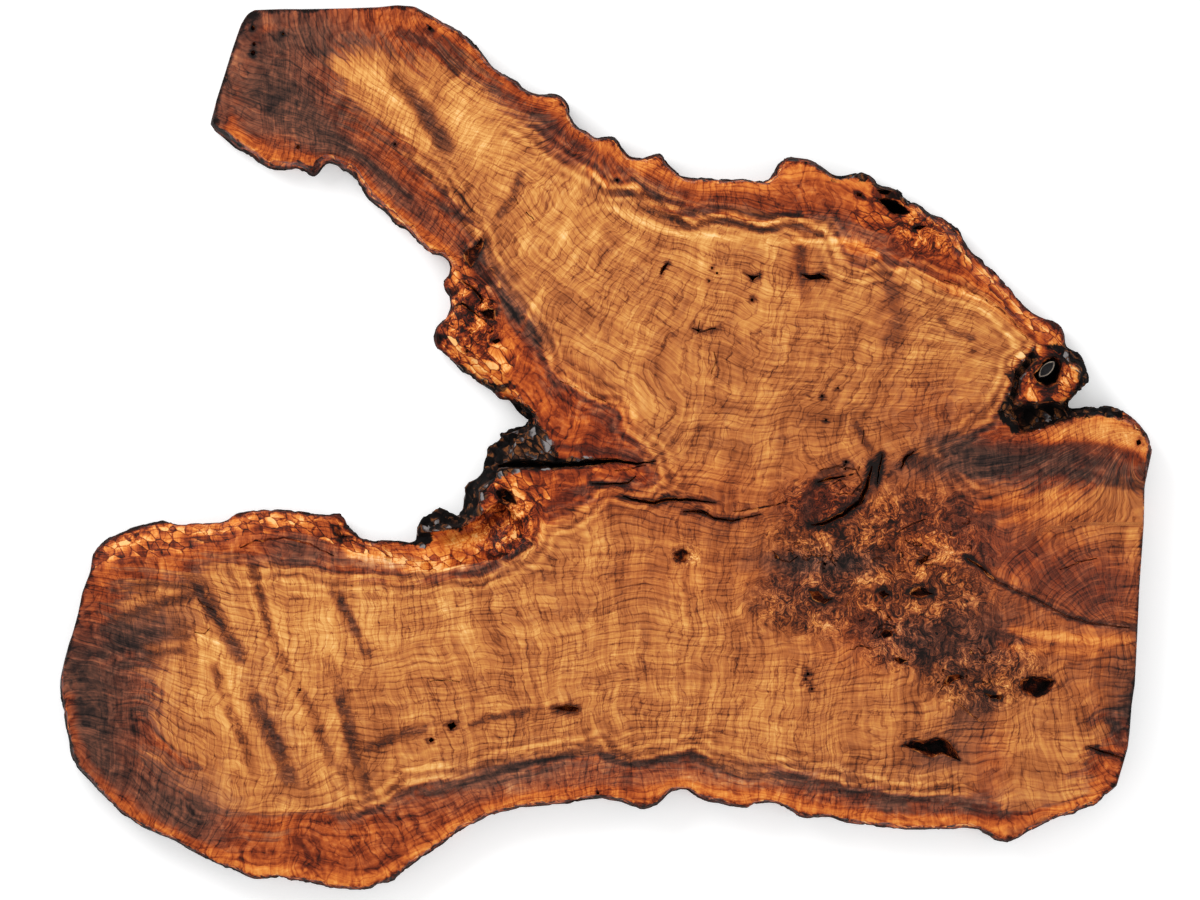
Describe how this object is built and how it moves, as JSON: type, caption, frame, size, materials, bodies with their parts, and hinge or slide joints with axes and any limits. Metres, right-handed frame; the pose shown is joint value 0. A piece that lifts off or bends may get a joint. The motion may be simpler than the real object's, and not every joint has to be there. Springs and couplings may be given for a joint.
{
  "type": "live edge walnut slab",
  "caption": "Thick sawn slab of walnut root wood with live edges, a deep notch between its arm and lobe, bark pockets, cracks and hollows. It lies flat.",
  "frame": {"origin": "on the surface the slab lies on, under the middle of its outline", "axes": "+X along its longest side, from the arm's sawn end towards the right hand sawn end, +Y in the plane of the slab towards the arm, +Z out of the show face"},
  "size_m": [1.096, 0.888, 0.05],
  "materials": {
    "walnut": "oiled"
  },
  "bodies": {
    "root": {"slab": "walnut"}
  },
  "joints": []
}
